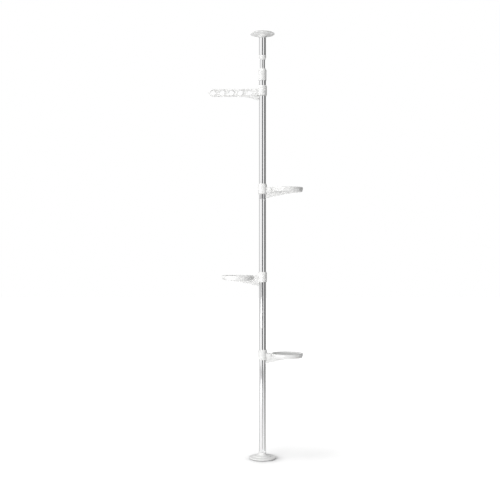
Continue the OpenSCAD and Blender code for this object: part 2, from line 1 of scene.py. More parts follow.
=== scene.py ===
# %% [markdown]
# A plant stand that is jammed between floor and ceiling, dressed for a product picture.
# The frame already holds every part of it at its real size: a foot, three screwed tubes, a sprung tube
# under the ceiling, four collars on wedges, one arm with ring holes and three round trays.
# This lesson keeps those sizes and gives each part the soft edges, fine form and finish of the real thing.
# Blender's unit here is the metre, so a size in millimetres is multiplied by MM.

# %% Load the frame
import json
import math

import bmesh
import bpy
from mathutils import Matrix, Vector

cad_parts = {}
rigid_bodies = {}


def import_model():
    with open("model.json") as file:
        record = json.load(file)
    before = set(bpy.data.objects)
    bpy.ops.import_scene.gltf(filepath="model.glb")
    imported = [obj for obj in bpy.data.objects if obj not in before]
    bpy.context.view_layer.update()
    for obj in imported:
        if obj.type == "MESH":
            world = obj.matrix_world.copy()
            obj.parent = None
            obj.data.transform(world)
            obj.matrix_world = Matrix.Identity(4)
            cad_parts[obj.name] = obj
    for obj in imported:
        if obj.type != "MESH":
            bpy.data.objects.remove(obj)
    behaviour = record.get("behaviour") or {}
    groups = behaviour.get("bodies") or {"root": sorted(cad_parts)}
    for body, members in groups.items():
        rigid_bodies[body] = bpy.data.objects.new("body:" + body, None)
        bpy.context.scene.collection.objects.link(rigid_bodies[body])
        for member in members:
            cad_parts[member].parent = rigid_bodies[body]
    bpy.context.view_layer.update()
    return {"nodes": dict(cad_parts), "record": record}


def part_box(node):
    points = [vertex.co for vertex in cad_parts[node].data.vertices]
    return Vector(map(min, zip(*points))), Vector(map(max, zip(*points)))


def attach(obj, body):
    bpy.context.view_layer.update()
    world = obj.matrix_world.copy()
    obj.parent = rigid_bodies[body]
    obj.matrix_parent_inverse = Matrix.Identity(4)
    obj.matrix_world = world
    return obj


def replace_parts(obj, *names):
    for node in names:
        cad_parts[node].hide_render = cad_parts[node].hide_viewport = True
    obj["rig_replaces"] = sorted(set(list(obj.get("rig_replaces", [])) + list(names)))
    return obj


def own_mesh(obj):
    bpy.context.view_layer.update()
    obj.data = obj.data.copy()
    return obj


MM = 0.001
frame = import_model()
members = frame["record"]["behaviour"]["bodies"]
body_of_node = {node: body for body, nodes in members.items() for node in nodes}
slot_of_node = {part["node"]: part["material_slot"] for part in frame["record"]["subparts"]}

# %% [markdown]
# Node trees are usually drawn by hand. Written as code they stay readable if one method adds any node,
# and if a number that varies over a surface can be used with Python's own operators.
# A Graph wraps a tree, and a Wire wraps one output socket: adding, scaling or raising a Wire adds the Math
# node for it. Colours and vectors are never put through it, because a Math node keeps only one number.

# %% Write node trees as code
class Wire:
    """One output socket, which Python's operators turn into Math nodes."""

    def __init__(self, graph, socket):
        self.graph = graph
        self.socket = socket

    def out(self, name):
        """Another output of the same node."""
        return Wire(self.graph, self.socket.node.outputs[name])

    def math(self, operation, *others):
        """A Math node that takes this value first and the others after it."""
        inputs = dict(enumerate((self,) + others))
        return self.graph.node("ShaderNodeMath", {"operation": operation}, inputs)

    def __add__(self, other):
        return self.math("ADD", other)

    def __radd__(self, other):
        return self.math("ADD", other)

    def __sub__(self, other):
        return self.math("SUBTRACT", other)

    def __rsub__(self, other):
        return self.graph.node("ShaderNodeMath", {"operation": "SUBTRACT"}, {0: other, 1: self})

    def __mul__(self, other):
        return self.math("MULTIPLY", other)

    def __rmul__(self, other):
        return self.math("MULTIPLY", other)

    def __truediv__(self, other):
        return self.math("DIVIDE", other)

    def __pow__(self, other):
        return self.math("POWER", other)


class Graph:
    """A shader or geometry tree that is built by code."""

    def __init__(self, tree):
        self.tree = tree

    def node(self, kind, settings=None, inputs=None):
        """Adds a node with its settings, then the value or link of each socket. Returns its first output."""
        made = self.tree.nodes.new(kind)
        for name, value in (settings or {}).items():
            if name == "stops":
                fill_ramp(made.color_ramp, value)
            else:
                setattr(made, name, value)
        for key, value in (inputs or {}).items():
            if isinstance(value, Wire):
                self.tree.links.new(value.socket, made.inputs[key])
            else:
                made.inputs[key].default_value = value
        return Wire(self, made.outputs[0]) if len(made.outputs) else made


def fill_ramp(ramp, stops):
    """Sets a ramp's stops from (position, grey) pairs."""
    while len(ramp.elements) < len(stops):
        ramp.elements.new(0.5)
    for element, (position, grey) in zip(ramp.elements, stops):
        element.position = position
        element.color = (grey, grey, grey, 1)


print("node helpers ready")

# %% [markdown]
# Every finish is a function that returns a material. All of them read Object coordinates, which are metres
# here, so that a grain of 0.5 mm is a noise of scale 2000 on every part alike.
# The white mouldings are ABS: a smooth mould leaves a low orange peel and streaks of gloss, where the melt
# flowed, and handling leaves a few duller marks.

# %% Finishes of the moulded parts
def new_finish(name):
    """A material with a principled shader, its graph and its object coordinates."""
    material = bpy.data.materials.new(name)
    material.use_nodes = True
    graph = Graph(material.node_tree)
    shader = material.node_tree.nodes["Principled BSDF"]
    place = graph.node("ShaderNodeTexCoord").out("Object")
    return material, graph, shader, place


def noise(graph, place, scale, detail=2.0, stretch=None, distortion=0.0):
    """Noise of a scale per metre, which stretch can draw out along an axis."""
    if stretch:
        place = graph.node("ShaderNodeMapping", None, {"Vector": place, "Scale": stretch})
    inputs = {"Vector": place, "Scale": scale, "Detail": detail, "Distortion": distortion}
    return graph.node("ShaderNodeTexNoise", {"noise_dimensions": "3D"}, inputs)


def ramp(graph, level, *stops):
    """A level read through a ramp of (position, grey) stops."""
    return graph.node("ShaderNodeValToRGB", {"stops": stops}, {"Fac": level})


def tint(graph, shader, mask, low, high):
    """Sets the base colour between two colours by a mask."""
    inputs = {0: mask, 6: (*low, 1), 7: (*high, 1)}
    mixed = graph.node("ShaderNodeMix", {"data_type": "RGBA"}, inputs).out(2)
    graph.tree.links.new(mixed.socket, shader.inputs["Base Color"])


def drive(graph, shader, name, wire):
    """Links a level to one of the shader's sockets."""
    graph.tree.links.new(wire.socket, shader.inputs[name])


def relief(graph, shader, height, depth):
    """Bump of a real depth in metres."""
    bumped = graph.node("ShaderNodeBump", None, {"Strength": 1.0, "Distance": depth, "Height": height})
    drive(graph, shader, "Normal", bumped)


def moulded(name, low, high, rough, spread, peel):
    """Moulded plastic: mould flow in colour and gloss, orange peel and faint handling marks."""
    material, graph, shader, place = new_finish(name)
    flow = noise(graph, place, 9, detail=3, stretch=(1, 1, 0.35), distortion=0.6)
    fine = noise(graph, place, 1600)
    peel_wave = noise(graph, place, 260)
    smudges = noise(graph, place, 70, detail=6, stretch=(1, 1, 0.3), distortion=1.5)
    marks = ramp(graph, smudges, (0.62, 0), (0.72, 1))
    tint(graph, shader, flow * 0.8 + fine * 0.2, low, high)
    drive(graph, shader, "Roughness", flow * spread + marks * 0.05 + (rough - spread / 2))
    relief(graph, shader, peel_wave * 0.6 + fine * 0.4, peel)
    shader.inputs["IOR"].default_value = 1.5
    return material


def rubber():
    """Moulded rubber with a stippled skin and patches of pale dust."""
    material, graph, shader, place = new_finish("rubber")
    stipple = noise(graph, place, 900, detail=3)
    patches = noise(graph, place, 60, detail=5)
    dust = ramp(graph, patches, (0.45, 0), (0.8, 0.6))
    tint(graph, shader, dust, (0.045, 0.045, 0.047), (0.16, 0.155, 0.15))
    drive(graph, shader, "Roughness", stipple * 0.15 + 0.68)
    relief(graph, shader, stipple, 0.00012)
    return material


finishes = {
    "white_plastic": moulded("white_plastic", (0.83, 0.83, 0.82), (0.88, 0.88, 0.875),
                             rough=0.3, spread=0.12, peel=0.00002),
    "core_plastic": moulded("core_plastic", (0.7, 0.7, 0.68), (0.78, 0.78, 0.765),
                            rough=0.52, spread=0.1, peel=0.00004),
    "rubber": rubber(),
}
print("moulded finishes:", sorted(finishes))

# %% [markdown]
# The tubes are thin stainless steel, polished along their length. Polishing leaves hairlines that run up the
# tube, so the noise is drawn out fifty times along Z, and they spread a reflection sideways only a little.
# A metal's colour is its reflection: a dark card beside the camera draws a dark line down a bright tube.

# %% Finishes of the metal parts
def polished_tube(name, colour, rough, line_depth):
    """Polished metal with hairlines along Z, faint clouding and a few short scratches."""
    material, graph, shader, place = new_finish(name)
    hairline = noise(graph, place, 1500, detail=3, stretch=(1, 1, 0.02))
    cloud = noise(graph, place, 12, detail=4, stretch=(1, 1, 0.3))
    streaks = noise(graph, place, 420, stretch=(1, 1, 0.12), distortion=0.4)
    scratch = ramp(graph, streaks, (0.7, 0), (0.76, 1))
    dim = tuple(0.94 * c for c in colour)
    tint(graph, shader, hairline * 0.6 + cloud * 0.4, dim, colour)
    drive(graph, shader, "Roughness", cloud * 0.06 + scratch * 0.1 + hairline * 0.05 + (rough - 0.055))
    relief(graph, shader, hairline, line_depth)
    shader.inputs["Metallic"].default_value = 1.0
    return material


def plated(name, colour, rough):
    """Zinc plate or bare wire: even, finely pitted, slightly cloudy."""
    material, graph, shader, place = new_finish(name)
    cloud = noise(graph, place, 220, detail=4)
    pits = noise(graph, place, 2600)
    tint(graph, shader, cloud, tuple(0.8 * c for c in colour), colour)
    drive(graph, shader, "Roughness", cloud * 0.2 + (rough - 0.1))
    relief(graph, shader, pits, 0.000015)
    shader.inputs["Metallic"].default_value = 1.0
    return material


finishes["polished_steel"] = polished_tube("polished_steel", (0.93, 0.932, 0.936),
                                           rough=0.1, line_depth=0.000004)
finishes["screw_steel"] = plated("screw_steel", (0.62, 0.64, 0.67), rough=0.35)
finishes["spring_steel"] = plated("spring_steel", (0.42, 0.43, 0.46), rough=0.3)
print("all finishes:", sorted(finishes))

# %% [markdown]
# Most of the stand is round, so most of it can be turned, as on a lathe. The outline of half a section is
# drawn once, as corners that each have a rounding radius, and a Geometry Nodes tree turns it: it lays a
# grid, reads the outline's point for each row and swings it round the axis. A grid with its place worked out
# by a formula gives clean rows of faces, where sweeping a curve would leave its seam and twist to chance.

# %% Outlines with round corners
def rounded(corners, steps=5):
    """Corners (x, z, radius) as a list of points, with an arc of steps pieces at each rounded corner."""
    points = []
    for i, (x, z, radius) in enumerate(corners):
        here = Vector((x, z))
        if radius <= 0:
            points.append(here)
            continue
        before = (Vector(corners[i - 1][:2]) - here).normalized()
        after = (Vector(corners[(i + 1) % len(corners)][:2]) - here).normalized()
        half = before.angle(after) / 2
        middle = here + (before + after).normalized() * (radius / math.sin(half))
        reach = radius / math.tan(half)
        first = here + before * reach - middle
        last = here + after * reach - middle
        turn = first.angle_signed(last)
        for k in range(steps + 1):
            points.append(middle + Matrix.Rotation(-turn * k / steps, 2) @ first)
    return points


square = [(0, 0, 0.1), (1, 0, 0.1), (1, 1, 0.1), (0, 1, 0.1)]
print("a square with round corners has", len(rounded(square)), "points")

# %% The tree that turns an outline
def input_socket(tree, name, kind):
    """Adds a named input to a tree and returns its identifier, by which a modifier sets it."""
    return tree.interface.new_socket(name, in_out="INPUT", socket_type=kind).identifier


def new_geometry_tree(name):
    """An empty geometry tree with its geometry input and output."""
    tree = bpy.data.node_groups.new(name, "GeometryNodeTree")
    tree.interface.new_socket("Geometry", in_out="INPUT", socket_type="NodeSocketGeometry")
    tree.interface.new_socket("Geometry", in_out="OUTPUT", socket_type="NodeSocketGeometry")
    return tree


def finish_tree(graph, geometry, material):
    """Ends a tree in Realize Instances and Set Material."""
    real = graph.node("GeometryNodeRealizeInstances", None, {0: geometry})
    painted = graph.node("GeometryNodeSetMaterial", None, {"Geometry": real, "Material": material})
    graph.node("NodeGroupOutput", None, {0: painted})


turning_tree = new_geometry_tree("turn_outline")
turning_inputs = {
    "steps": input_socket(turning_tree, "Steps round the axis", "NodeSocketInt"),
    "points": input_socket(turning_tree, "Points in the outline", "NodeSocketInt"),
    "flutes": input_socket(turning_tree, "Number of flutes", "NodeSocketFloat"),
    "depth": input_socket(turning_tree, "Depth of the flutes", "NodeSocketFloat"),
    "low": input_socket(turning_tree, "Lower end of the flutes", "NodeSocketFloat"),
    "high": input_socket(turning_tree, "Upper end of the flutes", "NodeSocketFloat"),
    "outer": input_socket(turning_tree, "Radius inside which nothing is fluted", "NodeSocketFloat"),
    "material": input_socket(turning_tree, "Material", "NodeSocketMaterial"),
}


def build_turning_tree():
    """Lays a grid, swings the outline round Z on it and presses the flutes into the outer wall."""
    graph = Graph(turning_tree)
    given = graph.node("NodeGroupInput")
    steps, points = given.out("Steps round the axis"), given.out("Points in the outline")
    grid_inputs = {"Size X": 1.0, "Size Y": 1.0, "Vertices X": steps + 1, "Vertices Y": points}
    grid = graph.node("GeometryNodeMeshGrid", None, grid_inputs)
    index = graph.node("GeometryNodeInputIndex")
    column = (index / points).math("FLOOR")
    row = index - column * points
    place = graph.node("GeometryNodeInputPosition")
    sampled = graph.node("GeometryNodeSampleIndex", {"data_type": "FLOAT_VECTOR", "domain": "POINT"},
                         {"Geometry": given, "Value": place, "Index": row})
    section = graph.node("ShaderNodeSeparateXYZ", None, {0: sampled})
    radius, height = section.out("X"), section.out("Z")
    angle = column / steps * math.tau
    fade = 3 * MM
    rise = (height - given.out("Lower end of the flutes")) / fade
    fall = (given.out("Upper end of the flutes") - height) / fade
    window = rise.math("MINIMUM", fall).math("MINIMUM", 1.0).math("MAXIMUM", 0.0)
    outside = radius.math("GREATER_THAN", given.out("Radius inside which nothing is fluted"))
    wave = ((angle * given.out("Number of flutes")).math("COSINE") * 0.5 + 0.5) ** 3.0
    pressed = radius - wave * window * outside * given.out("Depth of the flutes")
    swung = graph.node("ShaderNodeCombineXYZ", None, {
        "X": pressed * angle.math("COSINE"), "Y": pressed * angle.math("SINE"), "Z": height})
    moved = graph.node("GeometryNodeSetPosition", None, {"Geometry": grid, "Position": swung})
    closed = graph.node("GeometryNodeMergeByDistance", None, {"Geometry": moved, "Distance": 1e-6})
    finish_tree(graph, closed, given.out("Material"))


build_turning_tree()
print("the turning tree has", len(turning_tree.nodes), "nodes")

# %% [markdown]
# A modifier reads the tree, and its result becomes a plain mesh of its own: the evaluated mesh is taken and
# the modifier goes. The normals are made to point outwards and each edge with a clear corner is marked
# sharp, so that round walls shade smooth and corners stay crisp. For a turned part, the outline's points are
# put in a mesh first, and the tree's inputs are set by their identifiers.

# %% Take the result out of a modifier
def evaluated_mesh(holder):
    """The plain mesh that an object with modifiers shows."""
    graph = bpy.context.evaluated_depsgraph_get()
    return bpy.data.meshes.new_from_object(holder.evaluated_get(graph), depsgraph=graph)


def tidy_mesh(mesh, corner=35):
    """Normals outwards, smooth walls and sharp corners of more than corner degrees."""
    work = bmesh.new()
    work.from_mesh(mesh)
    bmesh.ops.remove_doubles(work, verts=work.verts, dist=1e-6)
    bmesh.ops.dissolve_degenerate(work, dist=1e-7, edges=work.edges)
    bmesh.ops.recalc_face_normals(work, faces=work.faces)
    if work.calc_volume(signed=True) < 0:
        bmesh.ops.reverse_faces(work, faces=work.faces)
    for face in work.faces:
        face.smooth = True
    for edge in work.edges:
        edge.smooth = len(edge.link_faces) == 2 and edge.calc_face_angle(0) < math.radians(corner)
    work.to_mesh(mesh)
    work.free()
    return mesh


def take_result(piece, corner=35):
    """Gives a piece the mesh that its modifiers make, tidied, and lets the modifiers go."""
    piece.data = tidy_mesh(evaluated_mesh(piece), corner)
    piece.modifiers.clear()


def new_object(name, data):
    """An object for a mesh, a lamp or a camera, linked to the scene."""
    made = bpy.data.objects.new(name, data)
    bpy.context.scene.collection.objects.link(made)
    return made


def new_piece(name, mesh, finish):
    """An object for a mesh that is painted with a finish."""
    mesh.materials.clear()
    mesh.materials.append(finishes[finish])
    return new_object(name, mesh)


no_flutes = {"flutes": 0, "depth": 0, "low": 0, "high": 0, "outer": 0}


def turned(name, outline, finish, steps=96, flutes=no_flutes):
    """Turns an outline of (radius, height) points round Z, closed unless it starts and ends on the axis.
    flutes: their number, depth, lower and upper end, and the radius outside which they are pressed in."""
    solid = outline[0][0] < 1e-9 and outline[-1][0] < 1e-9
    points = list(outline) if solid else [*outline, outline[0]]
    holder = new_piece(name, bpy.data.meshes.new(name), finish)
    holder.data.from_pydata([(r, 0, z) for r, z in points], [], [])
    turning = holder.modifiers.new("turn", "NODES")
    turning.node_group = turning_tree
    values = {key: float(value) for key, value in flutes.items()}
    values.update(steps=steps, points=len(points), material=finishes[finish])
    for key, value in values.items():
        turning[turning_inputs[key]] = value
    take_result(holder)
    return holder


def dress(piece, *nodes):
    """Makes a piece stand for CAD nodes of one body and ride with them."""
    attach(piece, body_of_node[nodes[0]])
    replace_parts(piece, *nodes)
    return piece


print("turning helper ready")

# %% [markdown]
# The tubes. Each is cut from one length of thin stainless tube, with its ends deburred, so the wall has
# small round edges. Between two tubes the collar of a threaded insert shows as a hair-thin pale ring.
# The wall is drawn hollow, and with many steps round, because a polished tube shows every flat.

# %% Tubes
tube_wall = 1 * MM
deburr = 0.35 * MM
for node in ("lower_tube", "middle_tube", "upper_tube", "inner_tube", "spring_sleeve"):
    low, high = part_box(node)
    outer, inner = high.x, high.x - tube_wall
    section = rounded([(inner, low.z, deburr), (outer, low.z, deburr),
                       (outer, high.z, deburr), (inner, high.z, deburr)], steps=3)
    dress(turned(node + "_metal", section, slot_of_node[node], steps=128), node)
    print(node, "radius", round(outer / MM, 1), "mm, length", round((high.z - low.z) / MM, 1), "mm")

# %% [markdown]
# The ribs, the bosses and the screws come in sets of equal copies. A second tree places them. Its object
# holds one point for each copy, with a stored angle, and the tree puts the part there, turned by that angle.

# %% The tree that places copies
copying_tree = new_geometry_tree("place_copies")
copying_inputs = {
    "part": input_socket(copying_tree, "Part", "NodeSocketObject"),
    "material": input_socket(copying_tree, "Material", "NodeSocketMaterial"),
}


def build_copying_tree():
    """Puts a part on every point of the object, turned round Z by the angle stored there."""
    graph = Graph(copying_tree)
    given = graph.node("NodeGroupInput")
    part = graph.node("GeometryNodeObjectInfo", None, {"Object": given.out("Part")}).out("Geometry")
    turn = graph.node("GeometryNodeInputNamedAttribute", {"data_type": "FLOAT"}, {"Name": "turn"})
    angles = graph.node("ShaderNodeCombineXYZ", None, {"Z": turn})
    inputs = {"Points": given, "Instance": part, "Rotation": angles}
    placed = graph.node("GeometryNodeInstanceOnPoints", None, inputs)
    finish_tree(graph, placed, given.out("Material"))


build_copying_tree()


def copies(name, part, places, finish):
    """Copies of a part at places (x, y, z, angle), as one piece. The part itself is used up."""
    holder = new_piece(name, bpy.data.meshes.new(name), finish)
    holder.data.from_pydata([place[:3] for place in places], [], [])
    holder.data.attributes.new("turn", "FLOAT", "POINT").data.foreach_set("value", [p[3] for p in places])
    placing = holder.modifiers.new("place", "NODES")
    placing.node_group = copying_tree
    placing[copying_inputs["part"]] = part
    placing[copying_inputs["material"]] = finishes[finish]
    holder.data = evaluated_mesh(holder)
    holder.modifiers.clear()
    bpy.data.objects.remove(part)
    return holder


def prism(name, outline, thickness, finish):
    """A flat outline of (x, z) points, given a thickness along Y."""
    work = bmesh.new()
    front = [work.verts.new((x, -thickness / 2, z)) for x, z in outline]
    back = [work.verts.new((x, thickness / 2, z)) for x, z in outline]
    work.faces.new(front)
    work.faces.new(reversed(back))
    for i in range(len(front)):
        work.faces.new((front[i - 1], back[i - 1], back[i], front[i]))
    mesh = bpy.data.meshes.new(name)
    work.to_mesh(mesh)
    work.free()
    return new_piece(name, tidy_mesh(mesh), finish)


def joined(piece, *others):
    """Adds the meshes of other objects to a piece."""
    work = bmesh.new()
    for one in (piece, *others):
        work.from_mesh(one.data)
    work.to_mesh(piece.data)
    work.free()
    for one in others:
        bpy.data.objects.remove(one)
    return piece


def around(count, first=0.0):
    """Places on the axis, turned evenly."""
    return [(0, 0, 0, first + math.tau * i / count) for i in range(count)]


def millimetres(*points):
    """Points (x, z) or corners (x, z, radius) in mm, as corners in metres."""
    return [(p[0] * MM, p[1] * MM, (p[2] if len(p) > 2 else 0) * MM) for p in points]


print("copying helper ready")

# %% [markdown]
# The foot is a thin moulding with ribs inside, on a rubber pad. Its outline has a rounding of 3 mm at the
# rim, a small fillet at the step and a flare of 15 mm radius up to the tube: light runs over these in soft
# bands. Its neck is 1.6 mm thick and clears the tube by 0.05 mm, with holes for the screw and its head.
# The pad has ring grooves below, which let it bite on a tiled floor.

# %% The foot
foot_low, foot_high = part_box("foot_cover")
foot_r, foot_top = foot_high.x / MM, foot_high.z / MM
neck_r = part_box("lower_tube")[1].x / MM + 1.6
seat_r = neck_r - 1.55
screw_hole, head_hole, foot_pad_h = 3.05, 5.8, 3
foot_outline = rounded(millimetres(
    (head_hole, foot_pad_h, 0.3), (23.6, foot_pad_h, 0.4), (23.6, 14, 2), (44, 9, 4), (67, 6, 1.2),
    (67, foot_pad_h, 0.5), (foot_r, foot_pad_h, 1.6), (foot_r, 10.83, 3), (46, 12.14, 2.8), (46, 17, 2),
    (neck_r, 17, 15), (neck_r, foot_top, 0.6), (seat_r, foot_top, 0.6), (seat_r, 12, 0.3),
    (screw_hole, 12, 0.2), (screw_hole, 8, 0.2), (head_hole, 8, 0.3)), steps=6)
foot = turned("foot_cover_moulding", foot_outline, "white_plastic", steps=128)
rib_side = rounded(millimetres((23, foot_pad_h), (67.6, foot_pad_h), (67.6, 6.3), (44, 9.5), (23, 14.6)))
foot_rib = prism("foot_rib", rib_side, thickness=2 * MM, finish="white_plastic")
foot_ribs = copies("foot_ribs", foot_rib, around(8), "white_plastic")
dress(joined(foot, foot_ribs), "foot_cover")


def pad_outline(radius, low, high, opened):
    """A rubber disc from low to high with a ring groove every 8 mm in its lower or upper (opened) face."""
    half_groove, groove_depth = 0.8, 0.8
    face, bed = (high, high - groove_depth) if opened else (low, low + groove_depth)
    cut = []
    for middle in range(12, int(radius) - 4, 8):
        start, stop = middle - half_groove, middle + half_groove
        cut += [(start, face, 0.2), (start, bed, 0.3), (stop, bed, 0.3), (stop, face, 0.2)]
    if opened:
        corners = [(0, low), (radius, low, 0.5), (radius, high, 0.8), *reversed(cut), (0, high)]
    else:
        corners = [(0, low), *cut, (radius, low, 0.8), (radius, high, 0.5), (0, high)]
    return rounded(millimetres(*corners), steps=3)


foot_section = pad_outline(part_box("foot_pad")[1].x / MM, 0, foot_pad_h, opened=False)
dress(turned("foot_pad_rubber", foot_section, "rubber", steps=128), "foot_pad")
print("foot:", round(2 * foot_r, 1), "mm wide,", round((foot_high.z - foot_low.z) / MM, 1), "mm high")

# %% [markdown]
# The ceiling pad mirrors the foot with a flatter cover. Its edge is thin, because it is seen from below.

# %% The ceiling pad
ceil_low, ceil_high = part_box("ceiling_cover")
ceil_r, ceil_top, ceil_neck = ceil_high.x / MM, ceil_high.z / MM, ceil_low.z / MM
ceiling_outline = rounded(millimetres(
    (head_hole, ceil_top, 0.3), (head_hole, ceil_top - 5, 0.3), (screw_hole, ceil_top - 5, 0.2),
    (screw_hole, ceil_neck + 10, 0.2), (seat_r, ceil_neck + 10, 0.3), (seat_r, ceil_neck, 0.6),
    (neck_r, ceil_neck, 0.6), (neck_r, ceil_top - 10.3, 9), (ceil_r, ceil_top - 3.9, 1.5),
    (ceil_r, ceil_top, 0.6)), steps=6)
dress(turned("ceiling_cover_moulding", ceiling_outline, "white_plastic", steps=128), "ceiling_cover")
pad_low, pad_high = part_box("ceiling_pad")
ceiling_section = pad_outline(pad_high.x / MM, pad_low.z / MM, pad_high.z / MM, opened=True)
dress(turned("ceiling_pad_rubber", ceiling_section, "rubber", steps=128), "ceiling_pad")
print("ceiling pad:", round(2 * ceil_r, 1), "mm wide, top at", round(pad_high.z, 3), "m")

# %% [markdown]
# Between two tubes sits the collar of a threaded insert. Only its 0.8 mm edge shows, as a fine grey line.
# It is turned with its stud or its socket, because the stand is unscrewed there for storage.

# %% Threaded inserts
insert_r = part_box("lower_tube")[1].x / MM - 1.05
seam, socket_r, socket_depth = 0.8, 8.05, 25.8
stud_r, root_r, lead_r, pitch, stud_length = 8, 7.3, 7.2, 1.9, 24.8
for name in ("lower", "upper"):
    low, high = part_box(name + "_socket_insert")
    seam_r, bottom, top = high.x / MM, low.z / MM, high.z / MM
    socket = rounded(millimetres(
        (0, bottom), (insert_r, bottom, 1), (insert_r, top - seam, 0.02), (seam_r, top - seam, 0.15),
        (seam_r, top, 0.15), (socket_r, top, 0.3), (socket_r, top - socket_depth, 0.5),
        (0, top - socket_depth)), steps=3)
    dress(turned(name + "_socket", socket, "core_plastic"), name + "_socket_insert")
    low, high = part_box(name + "_stud_insert")
    bottom, top = low.z / MM, high.z / MM
    crests = []
    for k in range(11):
        z = bottom + 2.5 + pitch * k
        crests += [(stud_r, z, 0), (stud_r, z + 0.5, 0), (root_r, z + 0.95, 0), (root_r, z + 1.4, 0)]
    stud = rounded(millimetres(
        (0, bottom), (lead_r, bottom, 0.6), (lead_r, bottom + 1.6, 0), *crests, (stud_r, bottom + 23.6, 0),
        (stud_r, bottom + stud_length, 0.1), (insert_r, bottom + stud_length, 0.4), (insert_r, top, 1),
        (0, top)), steps=3)
    dress(turned(name + "_stud", stud, "core_plastic"), name + "_stud_insert")
    print(name, "joint at", round(top, 1), "mm")

# %% [markdown]
# The lock nut has twelve shallow grip flutes round a tapered wall. The turning tree presses them in with a
# cosine of the angle, raised to a power so that the lands between them stay wide, and fades them out over
# 3 mm at both ends, as a mould's cutter leaves them. The tree can only move points that are there, so the
# nut's wall gets rows of them, up to where its rounded shoulder begins. The ring under the spring sleeve is
# turned in the same way. The lock body inside the nut is hidden and keeps the frame's mesh.

# %% Lock nut and sleeve ring
nut_low, nut_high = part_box("lock_nut")
nut_z, nut_top, nut_r = nut_low.z / MM, nut_high.z / MM, 22.4
body_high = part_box("lock_body")[1]
grip_top, thread_r = body_high.z / MM, body_high.x / MM + 0.05
cone_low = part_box("upper_tube")[1].z / MM + 1.6
rod_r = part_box("inner_tube")[1].x / MM
wall_r, wall_low, wall_high, wall_parts = 21.4, nut_z + 0.6, nut_top - 8.5, 24
wall_rows = []
for k in range(1, wall_parts - 2):
    t = k / wall_parts
    wall_rows.append((wall_r + t * (nut_r - wall_r), wall_low + t * (wall_high - wall_low)))
nut_outline = rounded(millimetres(
    (thread_r, nut_z, 0.2), (21.1, nut_z, 0.3), (wall_r, wall_low, 0.3), *wall_rows,
    (nut_r, wall_high, 4.2), (19.1, nut_top - 7.3, 0.8), (17.4, nut_top - 1.5, 0.6),
    (16.8, nut_top, 0.4), (rod_r + 1.05, nut_top, 0.3), (rod_r + 1.05, grip_top, 0.1),
    (rod_r + 2.65, cone_low, 0.1), (thread_r, cone_low, 0.1)))
flutes = {"flutes": 12, "depth": 0.8 * MM, "low": (nut_z + 21) * MM, "high": (nut_top - 11) * MM,
          "outer": 21 * MM}
nut = turned("lock_nut_fluted", nut_outline, "white_plastic", steps=240, flutes=flutes)
dress(nut, "lock_nut")
ring_low, ring_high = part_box("sleeve_ring")
ring_z, ring_top, ring_r = ring_low.z / MM, ring_high.z / MM, ring_high.x / MM
seat_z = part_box("spring_sleeve")[0].z / MM
ring_outline = rounded(millimetres(
    (rod_r + 0.05, ring_z, 0.3), (rod_r + 1, ring_z, 0.4), (ring_r - 1.4, ring_z + 8, 6),
    (ring_r, ring_z + 13, 6), (ring_r, seat_z, 0.5), (insert_r, seat_z, 0.03),
    (insert_r, ring_top, 0.4), (rod_r + 0.05, ring_top, 0.3)))
dress(turned("sleeve_ring_moulding", ring_outline, "white_plastic", steps=128), "sleeve_ring")
print("lock nut", round(nut_top - nut_z, 1), "mm long,", len(nut.data.polygons), "faces")

# %% [markdown]
# The spring is one wire on a path, so a tree draws the path: a helix whose pitch closes up at both ends, as
# on every compression spring.

# %% Spring
spring_tree = new_geometry_tree("wind_spring")
spring_inputs = {
    "turns": input_socket(spring_tree, "Turns", "NodeSocketFloat"),
    "radius": input_socket(spring_tree, "Radius", "NodeSocketFloat"),
    "wire": input_socket(spring_tree, "Wire radius", "NodeSocketFloat"),
    "low": input_socket(spring_tree, "Lower end", "NodeSocketFloat"),
    "high": input_socket(spring_tree, "Upper end", "NodeSocketFloat"),
    "material": input_socket(spring_tree, "Material", "NodeSocketMaterial"),
}


def build_spring_tree():
    """Bends a line of points into a helix with closed end turns and sweeps the wire along it. All turns
    share a part of the height, even_share, and those between the first and the last share the rest."""
    graph = Graph(spring_tree)
    given = graph.node("NodeGroupInput")
    line = graph.node("GeometryNodeCurvePrimitiveLine", {"mode": "POINTS"}, {"End": (0, 0, 1)})
    points = graph.node("GeometryNodeResampleCurve", None, {"Curve": line, "Count": 720})
    along = graph.node("GeometryNodeSplineParameter").out("Factor")
    turns = given.out("Turns")
    turn = along * turns
    angle = turn * math.tau
    opened = ((turn - 1) / (turns - 2)).math("MAXIMUM", 0.0).math("MINIMUM", 1.0)
    low, high, wire = given.out("Lower end"), given.out("Upper end"), given.out("Wire radius")
    even_share = 0.352
    rise = along * even_share + opened * (1 - even_share)
    height = low + wire + rise * (high - low - wire * 2)
    radius = given.out("Radius")
    spot = graph.node("ShaderNodeCombineXYZ", None, {
        "X": radius * angle.math("COSINE"), "Y": radius * angle.math("SINE"), "Z": height})
    bent = graph.node("GeometryNodeSetPosition", None, {"Geometry": points, "Position": spot})
    circle = graph.node("GeometryNodeCurvePrimitiveCircle", None, {"Resolution": 12, "Radius": wire})
    inputs = {"Curve": bent, "Profile Curve": circle, "Fill Caps": True}
    swept = graph.node("GeometryNodeCurveToMesh", None, inputs)
    finish_tree(graph, swept, given.out("Material"))


